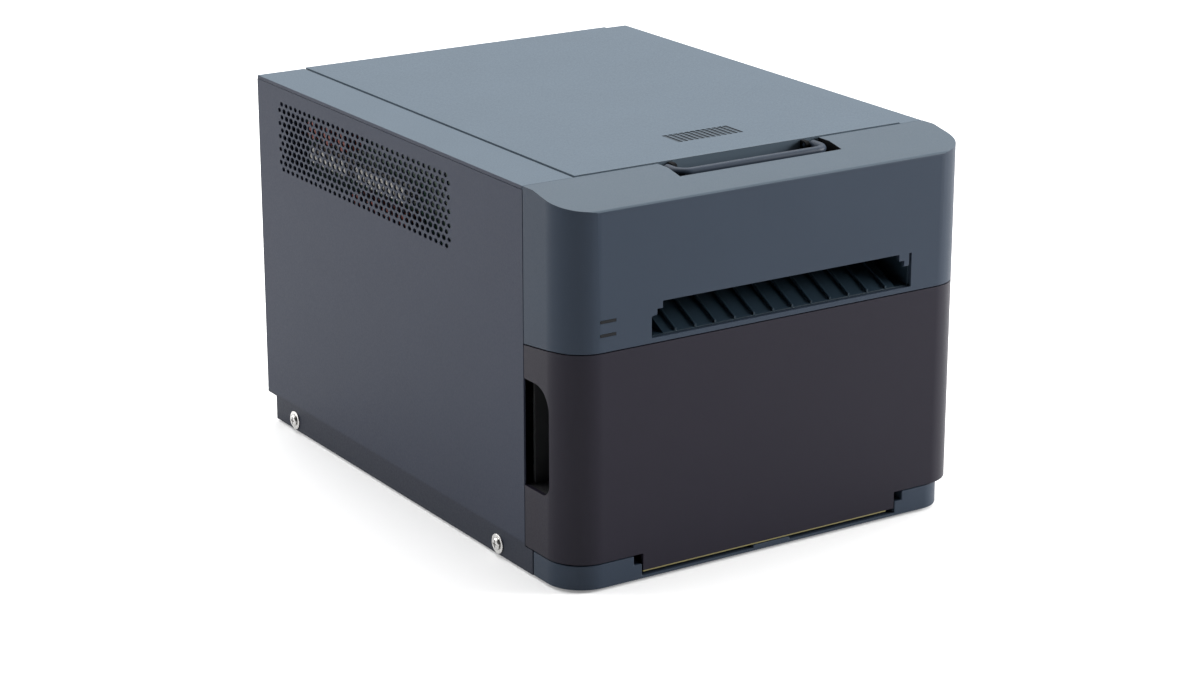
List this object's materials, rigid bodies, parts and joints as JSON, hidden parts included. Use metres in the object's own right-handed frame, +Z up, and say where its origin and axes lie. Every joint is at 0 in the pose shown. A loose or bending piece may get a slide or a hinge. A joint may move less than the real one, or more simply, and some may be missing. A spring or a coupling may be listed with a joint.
{
  "type": "compact photo printer",
  "caption": "Compact desktop photo printer: hinged top lid with a pull bar, front paper drawer with the roll, perforated left cover, roller, head and cutter mechanism inside.",
  "frame": {"origin": "on the table, under the middle of the casing", "axes": "+X to the right seen from the front, +Y from the front to the rear, +Z up"},
  "size_m": [0.2846, 0.37, 0.23],
  "materials": {
    "side_paint": "satin",
    "top_plastic": "satin",
    "front_plastic": "satin",
    "drawer_plastic": "satin",
    "yellow_plastic": "satin",
    "clear_lens": "gloss",
    "zinc_steel": "satin",
    "bright_steel": "polished",
    "brass_post": "satin",
    "bush_plastic": "matte",
    "sink_metal": "satin",
    "black_plastic": "matte",
    "foot_rubber": "matte",
    "paper": "satin",
    "ribbon_film": "gloss",
    "board_green": "satin",
    "coil_brown": "satin",
    "brass_gear": "satin",
    "port_shell": "polished"
  },
  "bodies": {
    "casing": {"base_plate": "zinc_steel", "rubber_feet": "foot_rubber", "front_base": "drawer_plastic", "left_side_cover": "side_paint", "right_side_cover": "side_paint", "cover_screws": "bright_steel", "screw_washers": "bright_steel", "rear_panel": "side_paint", "top_frame": "side_paint", "upper_front_cover": "front_plastic", "status_lenses": "clear_lens", "exit_chute": "front_plastic", "hinge_brackets": "zinc_steel", "hinge_pins": "bright_steel", "left_frame": "zinc_steel", "right_frame": "zinc_steel", "front_stay": "zinc_steel", "rear_stay": "zinc_steel", "shaft_bushes": "bush_plastic", "idler_pin_stud": "bright_steel", "motor_bracket": "zinc_steel", "feed_motor": "black_plastic", "head_pivot_shaft": "bright_steel", "cutter_rail": "bright_steel", "fixed_blade": "bright_steel", "drawer_rails": "zinc_steel", "main_board": "board_green", "board_standoffs": "brass_post", "board_sockets": "bush_plastic", "board_coils": "coil_brown", "power_supply": "zinc_steel", "power_inlet": "black_plastic", "usb_port": "port_shell", "switch_frame": "front_plastic", "fan_case": "black_plastic"},
    "lid": {"top_lid": "top_plastic"},
    "handle": {"lid_handle": "front_plastic"},
    "capstan": {"capstan_roller": "bright_steel", "capstan_gear": "bush_plastic"},
    "platen": {"platen_shaft": "bright_steel", "platen_rubber": "foot_rubber"},
    "pinch": {"pinch_roller": "bright_steel"},
    "idler": {"idler_gear": "bush_plastic"},
    "pinion": {"motor_pinion": "brass_gear"},
    "head": {"thermal_head": "black_plastic", "heat_sink": "sink_metal", "head_arm": "zinc_steel"},
    "supply": {"supply_spool": "black_plastic", "ribbon_roll": "ribbon_film"},
    "takeup": {"takeup_spool": "black_plastic"},
    "cutter": {"cutter_carriage": "bush_plastic"},
    "wheel": {"cutter_wheel": "bright_steel"},
    "drawer": {"drawer_front": "drawer_plastic", "finger_cups": "drawer_plastic", "edge_strip": "yellow_plastic", "drawer_tray": "drawer_plastic"},
    "roll": {"paper_roll": "paper", "roll_flanges": "bush_plastic"},
    "rocker": {"power_rocker": "black_plastic"},
    "fan": {"fan_rotor": "black_plastic"}
  },
  "joints": [
    {"name": "lid_hinge", "type": "hinge", "parent": "casing", "child": "lid", "pos_m": [0, 0.179, 0.223], "axis": [-1, 0, 0], "range_deg": [0, 70]},
    {"name": "handle_pull", "type": "hinge", "parent": "lid", "child": "handle", "pos_m": [0, -0.1413, 0.2268], "axis": [-1, 0, 0], "range_deg": [0, 22], "stiffness_Nm_per_rad": 0.02, "springref_deg": -11.46},
    {"name": "drawer_slide", "type": "slide", "parent": "casing", "child": "drawer", "axis": [0, -1, 0], "range_m": [0, 0.15]},
    {"name": "roll_spin", "type": "hinge", "parent": "drawer", "child": "roll", "pos_m": [0, -0.088, 0.074], "axis": [1, 0, 0], "continuous": true},
    {"name": "capstan_spin", "type": "hinge", "parent": "casing", "child": "capstan", "pos_m": [0, -0.08, 0.154], "axis": [1, 0, 0], "continuous": true},
    {"name": "platen_spin", "type": "hinge", "parent": "casing", "child": "platen", "pos_m": [0, -0.04, 0.15], "axis": [1, 0, 0], "continuous": true},
    {"name": "pinch_spin", "type": "hinge", "parent": "casing", "child": "pinch", "pos_m": [0, -0.08, 0.1663], "axis": [1, 0, 0], "continuous": true},
    {"name": "idler_spin", "type": "hinge", "parent": "casing", "child": "idler", "pos_m": [0.107, -0.03876, 0.13562], "axis": [1, 0, 0], "continuous": true},
    {"name": "motor_spin", "type": "hinge", "parent": "casing", "child": "pinion", "pos_m": [0.107, -0.028, 0.114], "axis": [1, 0, 0], "continuous": true},
    {"name": "head_lift", "type": "hinge", "parent": "casing", "child": "head", "pos_m": [0, 0.048, 0.208], "axis": [-1, 0, 0], "range_deg": [0, 4]},
    {"name": "supply_spin", "type": "hinge", "parent": "casing", "child": "supply", "pos_m": [0, 0.01, 0.19], "axis": [1, 0, 0], "continuous": true},
    {"name": "takeup_spin", "type": "hinge", "parent": "casing", "child": "takeup", "pos_m": [0, -0.084, 0.198], "axis": [1, 0, 0], "continuous": true},
    {"name": "cutter_travel", "type": "slide", "parent": "casing", "child": "cutter", "axis": [1, 0, 0], "range_m": [0, 0.174]},
    {"name": "cutter_wheel_spin", "type": "hinge", "parent": "cutter", "child": "wheel", "pos_m": [-0.0874, -0.1122, 0.1675], "axis": [0, 1, 0], "continuous": true},
    {"name": "power_switch", "type": "hinge", "parent": "casing", "child": "rocker", "pos_m": [-0.055, 0.178, 0.075], "axis": [1, 0, 0], "range_deg": [-8, 8]},
    {"name": "fan_spin", "type": "hinge", "parent": "casing", "child": "fan", "pos_m": [0.06, 0.1765, 0.11], "axis": [0, 1, 0], "continuous": true}
  ],
  "couplings": [
    {"joint": "platen_spin", "follows": "capstan_spin", "ratio": 0.6},
    {"joint": "pinch_spin", "follows": "capstan_spin", "ratio": -1},
    {"joint": "idler_spin", "follows": "capstan_spin", "ratio": -1.5},
    {"joint": "motor_spin", "follows": "capstan_spin", "ratio": 4.5},
    {"joint": "takeup_spin", "follows": "supply_spin", "ratio": 1.8898},
    {"joint": "cutter_wheel_spin", "follows": "cutter_travel", "rad_per_m": 111.11}
  ]
}
